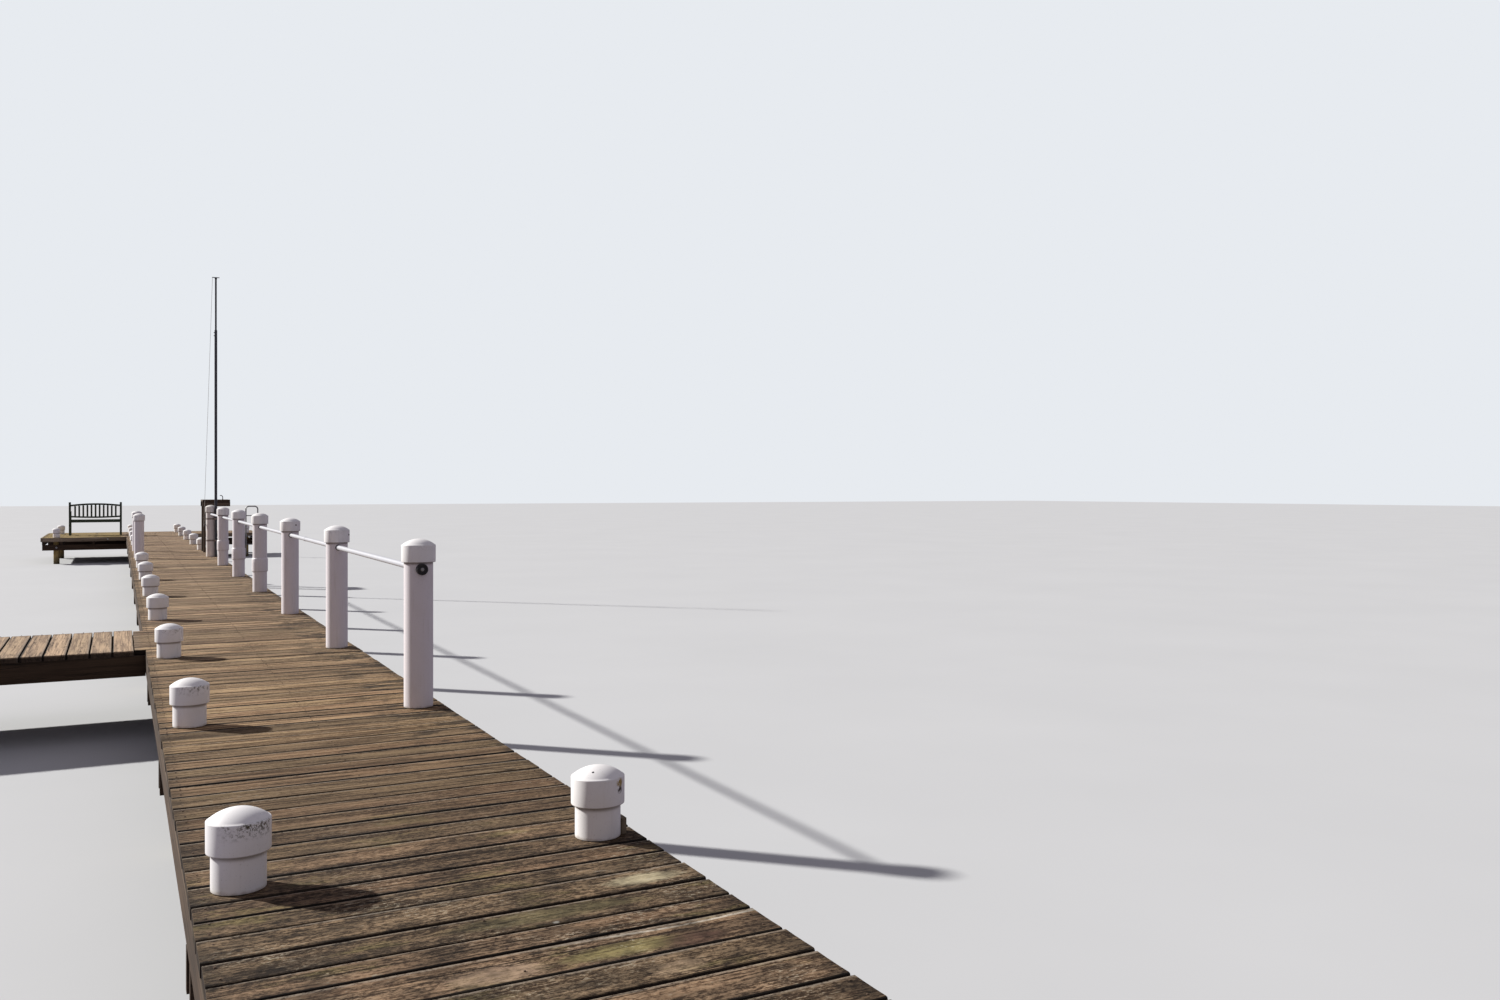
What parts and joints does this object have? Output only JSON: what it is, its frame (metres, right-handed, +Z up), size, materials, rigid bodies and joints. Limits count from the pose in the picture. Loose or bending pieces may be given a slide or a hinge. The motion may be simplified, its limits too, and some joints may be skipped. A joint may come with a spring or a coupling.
{
  "type": "wooden jetty",
  "caption": "Timber jetty on piles: a plank walkway with a side finger, a T shaped head, sleeved bollards, a pipe handrail, flagpole, cleaning table, ladder and bench.",
  "frame": {"origin": "middle of the jetty's outline in plan, at the water line under the piles", "axes": "+Y along the walkway from the shore to the head, +X to the right when walking out, +Z up"},
  "size_m": [6.682, 39.314, 6.131],
  "materials": {
    "deck_timber": "weathered grey brown boards",
    "pile_timber": "bare round timber, olive brown",
    "frame_timber": "weathered sawn timber",
    "sleeve": "weathered cream pipe",
    "cap": "weathered cream moulding",
    "rail_pipe": "cream paint",
    "black_fitting": "matt black",
    "pole_metal": "dark paint",
    "rope": "thin white line",
    "table_timber": "dark stained timber",
    "tap_metal": "tarnished dark metal",
    "ladder_metal": "galvanised tube",
    "bench_timber": "dark green grey paint"
  },
  "bodies": {
    "root": {"deck_shore_bays": "deck_timber", "deck_middle_bays": "deck_timber", "deck_outer_bays": "deck_timber", "deck_head": "deck_timber", "deck_finger": "deck_timber", "piles_left": "pile_timber", "piles_right": "pile_timber", "piles_head": "pile_timber", "piles_finger": "pile_timber", "crossheads": "frame_timber", "stringers": "frame_timber", "head_joists": "frame_timber", "head_fascia": "frame_timber", "shore_trimmer": "frame_timber", "finger_beams": "frame_timber", "finger_bearers": "frame_timber", "bollard_sleeves_left": "sleeve", "bollard_sleeves_right": "sleeve", "bollard_sleeves_head": "sleeve", "bollard_sleeves_finger": "sleeve", "post_sleeves_left": "sleeve", "post_sleeves_right": "sleeve", "bollard_caps": "cap", "post_caps": "cap", "socket_collars": "sleeve", "handrail": "rail_pipe", "rail_end_fittings": "black_fitting", "flagpole": "pole_metal", "topmast": "pole_metal", "flagpole_truck": "pole_metal", "flagpole_straps": "sleeve", "halyard_cleat": "pole_metal", "halyard": "rope", "table_legs": "table_timber", "table_bearers": "table_timber", "table_top": "table_timber", "table_tap": "tap_metal", "ladder_frame": "ladder_metal", "ladder_rungs": "ladder_metal", "ladder_brackets": "ladder_metal", "bench_ends": "bench_timber", "bench_rails": "bench_timber", "bench_back_slats": "bench_timber", "bench_seat_slats": "bench_timber"}
  },
  "joints": []
}
